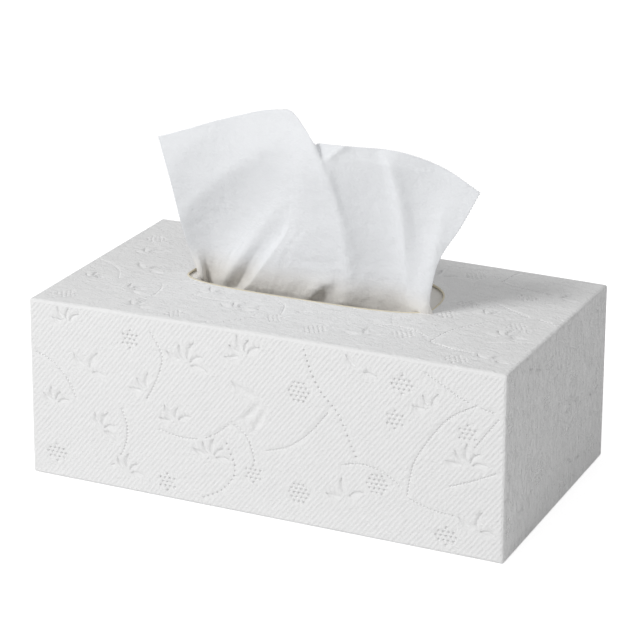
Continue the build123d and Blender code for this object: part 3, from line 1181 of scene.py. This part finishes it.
def folded_tissue(height):
    """One folded tissue of the stack: a flat loop, closed at its fold and open where its edges meet."""
    half_length, half_depth = (np.array(STACK_HIGH[:2]) - STACK_LOW[:2]) / MM / 2
    half_length -= STACK_END_INSET
    radius = height / 2
    outline = []
    for angle in np.linspace(pi / 2, 3 * pi / 2, STACK_FOLD_STEPS):
        outline.append((
            -half_depth + STACK_FOLD_INSET + radius + radius * cos(angle),
            radius + radius * sin(angle) * STACK_FOLD_FULLNESS))
    for inset, share in STACK_OPEN_EDGES:
        outline.append((half_depth - inset, min(max(height * share, STACK_GAP), height - STACK_GAP)))
    count = len(outline)
    points = [(x, y, z) for x in (-half_length, half_length) for y, z in outline]
    faces = [tuple(range(count)), tuple(range(2 * count - 1, count - 1, -1))]
    faces += [(i, count + i, count + (i + 1) % count, (i + 1) % count) for i in range(count)]
    return new_piece("folded_tissue_pattern", points, faces)


def stack_tree(sizes, pattern, paper):
    """Piles folded tissues, every other one turned round, each a little out of line."""
    tree, start = new_tree("tissue_stack", sizes)

    def upward(value):
        return add_node(tree, "ShaderNodeCombineXYZ", {2: value}).outputs[0]

    pile = add_node(tree, "GeometryNodeMeshLine", {
        "Count": start.outputs["Sheets"], "Start Location": upward(start.outputs["Bottom"]),
        "Offset": upward(start.outputs["Pitch"])})
    odd = calculate(tree, "MODULO", add_node(tree, "GeometryNodeInputIndex").outputs[0], 2.0)
    chance = add_node(tree, "FunctionNodeRandomValue", {
        "data_type": "FLOAT_VECTOR", 0: (-1, -1, 0), 1: (1, 1, 0), "Seed": start.outputs["Seed"]})
    shift = add_node(tree, "ShaderNodeVectorMath", {
        "operation": "SCALE", 0: chance.outputs[0], "Scale": start.outputs["Shift"]})
    moved = add_node(tree, "GeometryNodeSetPosition", {"Geometry": pile.outputs[0], "Offset": shift.outputs[0]})
    placed = add_node(tree, "GeometryNodeObjectInfo", {"Object": pattern, "transform_space": "ORIGINAL"})
    instances = add_node(tree, "GeometryNodeInstanceOnPoints", {
        "Points": moved.outputs[0], "Instance": placed.outputs["Geometry"],
        "Rotation": upward(calculate(tree, "MULTIPLY", odd, pi))})
    whole = add_node(tree, "GeometryNodeRealizeInstances", {"Geometry": instances.outputs[0]})
    finish = add_node(tree, "GeometryNodeSetMaterial", {"Material": paper, "Geometry": whole.outputs[0]})
    add_node(tree, "NodeGroupOutput", {0: finish.outputs[0]})
    return tree


def next_tissue(paper, thickness):
    """The next tissue, drawn up loosely under the slot behind and beside the raised one."""
    low, high = np.array(STACK_LOW) / MM, np.array(STACK_HIGH) / MM
    x, y = np.meshgrid(
        np.linspace(low[0] + NEXT_TISSUE_INSET, high[0] - NEXT_TISSUE_INSET, NEXT_TISSUE_COLUMNS),
        np.linspace(low[1] + NEXT_TISSUE_INSET, high[1] - NEXT_TISSUE_INSET, NEXT_TISSUE_ROWS))
    off = x - SLOT_CENTRE[0]
    across = np.abs(off / NEXT_TISSUE_REACH[0]) ** NEXT_TISSUE_SQUARENESS[0]
    along = np.abs((y - NEXT_TISSUE_MIDDLE) / NEXT_TISSUE_REACH[1]) ** NEXT_TISSUE_SQUARENESS[1]
    hill = 1 / (1 + across + along)
    beside = ramp(off, *NEXT_TISSUE_RIGHT) + ramp(-off, *NEXT_TISSUE_LEFT)
    groove = (1 - beside) / (1 + np.exp((y - RAISED_TISSUE_BACK) / RAISED_TISSUE_SOFTNESS))
    ends = ramp(np.abs(off), *NEXT_TISSUE_ENDS)
    rise = NEXT_TISSUE_RISE - NEXT_TISSUE_SAG * (1 - ends ** 2 * (3 - 2 * ends))
    z = high[2] - NEXT_TISSUE_SINK + rise * hill * (1 - groove)
    across_rate, along_rate, layer = NEXT_TISSUE_FOLDS
    for i, j in np.ndindex(x.shape):
        spot = Vector((x[i, j] * across_rate, y[i, j] * along_rate, layer))
        fold = abs(noise.noise(spot)) * NEXT_TISSUE_FOLD_HEIGHT
        fold += noise.noise(spot * NEXT_TISSUE_FINER) * NEXT_TISSUE_FINE_HEIGHT
        z[i, j] += fold * hill[i, j] * (1 - groove[i, j])
    z = np.minimum(z, CARTON_HIGH[2] / MM - NEXT_TISSUE_CLEARANCE)
    piece = new_sheet("next_tissue", np.stack([x, y, z], axis=2), paper, thickness, 1.0)
    piece.data.shade_smooth()
    return piece


class TISSUEBOX_OT_stack(bpy.types.Operator):
    """Builds the stack of interleaved folded tissues inside the carton"""

    bl_idname = "tissuebox.stack"
    bl_label = "Stack of tissues"

    def execute(self, context):
        settings = context.scene.tissuebox_tissue
        height = STACK_HIGH[2] - STACK_LOW[2]
        sheets = int(round(height / settings.sheet_pitch))
        pitch = height / sheets
        pattern = folded_tissue(pitch / MM)
        paper = bpy.data.materials.get("creped_tissue_paper") or tissue_material(settings)
        piece = new_piece("folded_tissues", [(0, 0, 0)], [])
        sizes = {
            "Sheets": sheets, "Pitch": pitch, "Shift": STACK_SHIFT * MM, "Bottom": float(STACK_LOW[2]),
            "Seed": settings.seed}
        use_tree(piece, stack_tree(sizes, pattern, paper), sizes)
        make_plain(piece)
        bpy.data.objects.remove(pattern)
        drawn_up = next_tissue(paper, settings.thickness)
        with context.temp_override(active_object=piece, selected_editable_objects=[piece, drawn_up]):
            bpy.ops.object.join()
        merge_and_turn_out(piece, 0.0001)
        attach(piece, "root")
        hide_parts("tissue_stack")
        return {"FINISHED"}


def add_holder(name, data, place, ahead):
    """An object for a lamp or a camera, at a place in metres and facing ahead."""
    holder = bpy.data.objects.new(name, data)
    holder.location = place
    holder.rotation_euler = Vector(ahead).to_track_quat("-Z", "Y").to_euler()
    bpy.context.scene.collection.objects.link(holder)
    return holder


def add_lamp(name, place, target, size, power):
    """A square soft lamp that faces a point."""
    lamp = bpy.data.lights.new(name, "AREA")
    lamp.shape = "SQUARE"
    lamp.size = size
    lamp.energy = power
    add_holder(name, lamp, place, Vector(target) - Vector(place))


def add_camera():
    """The photograph's camera."""
    camera = bpy.data.cameras.new("photo_camera")
    camera.sensor_width = 36.0
    camera.lens = FOCAL_PIXELS / PHOTO_SIDE * camera.sensor_width
    eye, _, _, back = photo_axes()
    bpy.context.scene.camera = add_holder("photo_camera", camera, eye * MM, -back)


def seen_rays(tree):
    """One for what is seen straight, mirrored or through glass, and nought for scattered light."""
    path = add_node(tree, "ShaderNodeLightPath").outputs
    straight = calculate(tree, "MAXIMUM", path["Is Camera Ray"], path["Is Glossy Ray"])
    return calculate(tree, "MAXIMUM", straight, path["Is Transmission Ray"])


def floor_material(settings):
    """Matt white paper sweep: it takes the box's shadow, and is white to the camera where light falls on it."""
    material, tree = new_material("white_paper_sweep")
    paper = add_node(tree, "ShaderNodeBsdfPrincipled", {
        "Base Color": (*settings.floor_colour, 1), "Roughness": 1.0, "Specular IOR Level": 0.0})
    glow = add_node(tree, "ShaderNodeEmission", {
        "Color": WHITE, "Strength": calculate(tree, "MULTIPLY", seen_rays(tree), FLOOR_GLOW)})
    both = add_node(tree, "ShaderNodeAddShader", {0: paper.outputs[0], 1: glow.outputs[0]})
    add_node(tree, "ShaderNodeOutputMaterial", {"Surface": both.outputs[0]})
    return material


class TISSUEBOX_OT_stage(bpy.types.Operator):
    """Builds the pale floor, the soft studio light and the photograph's camera"""

    bl_idname = "tissuebox.stage"
    bl_label = "Stage"

    def execute(self, context):
        settings = context.scene.tissuebox_stage
        half = settings.floor_size / 2 / MM
        corners = [(-half, -half, 0), (half, -half, 0), (half, half, 0), (-half, half, 0)]
        floor = new_piece("floor", corners, [(0, 1, 2, 3)])
        floor.data.materials.append(floor_material(settings))
        add_lamp("key_light", LAMP_PLACE, LAMP_TARGET, LAMP_SIZE, settings.key_power)
        world = bpy.data.worlds.new("soft_room")
        world.use_nodes = True
        tree = world.node_tree
        tree.nodes.clear()
        room, white = [
            add_node(tree, "ShaderNodeBackground", {"Color": WHITE, "Strength": strength}).outputs[0]
            for strength in (settings.fill, 1.0)]
        both = add_node(tree, "ShaderNodeMixShader", {0: seen_rays(tree), 1: room, 2: white})
        add_node(tree, "ShaderNodeOutputWorld", {"Surface": both.outputs[0]})
        context.scene.world = world
        add_camera()
        context.scene.view_settings.view_transform = "Standard"
        return {"FINISHED"}


OPERATORS = [TISSUEBOX_OT_carton, TISSUEBOX_OT_stack, TISSUEBOX_OT_raised_tissue, TISSUEBOX_OT_stage]


class TISSUEBOX_PT_panel(bpy.types.Panel):
    """Lists the pieces of the tissue box"""

    bl_idname = "TISSUEBOX_PT_panel"
    bl_label = "Tissue Box"
    bl_space_type = "VIEW_3D"
    bl_region_type = "UI"
    bl_category = "Tissue Box"

    def draw(self, context):
        for operator in OPERATORS:
            self.layout.operator(operator.bl_idname)
        for name in ("tissuebox_carton", "tissuebox_tissue", "tissuebox_stage"):
            settings = getattr(context.scene, name)
            for key in settings.bl_rna.properties.keys():
                if key not in ("rna_type", "name"):
                    self.layout.prop(settings, key)


CLASSES = [CartonSettings, TissueSettings, StageSettings, *OPERATORS, TISSUEBOX_PT_panel]


def register():
    for item in CLASSES:
        bpy.utils.register_class(item)
    bpy.types.Scene.tissuebox_carton = PointerProperty(type=CartonSettings)
    bpy.types.Scene.tissuebox_tissue = PointerProperty(type=TissueSettings)
    bpy.types.Scene.tissuebox_stage = PointerProperty(type=StageSettings)


def unregister():
    del bpy.types.Scene.tissuebox_stage
    del bpy.types.Scene.tissuebox_tissue
    del bpy.types.Scene.tissuebox_carton
    for item in reversed(CLASSES):
        bpy.utils.unregister_class(item)


def main():
    """Registers the classes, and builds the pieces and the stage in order."""
    register()
    bpy.ops.tissuebox.carton()
    bpy.ops.tissuebox.stack()
    bpy.ops.tissuebox.raised_tissue()
    bpy.ops.tissuebox.stage()


if __name__ == "__main__":
    main()
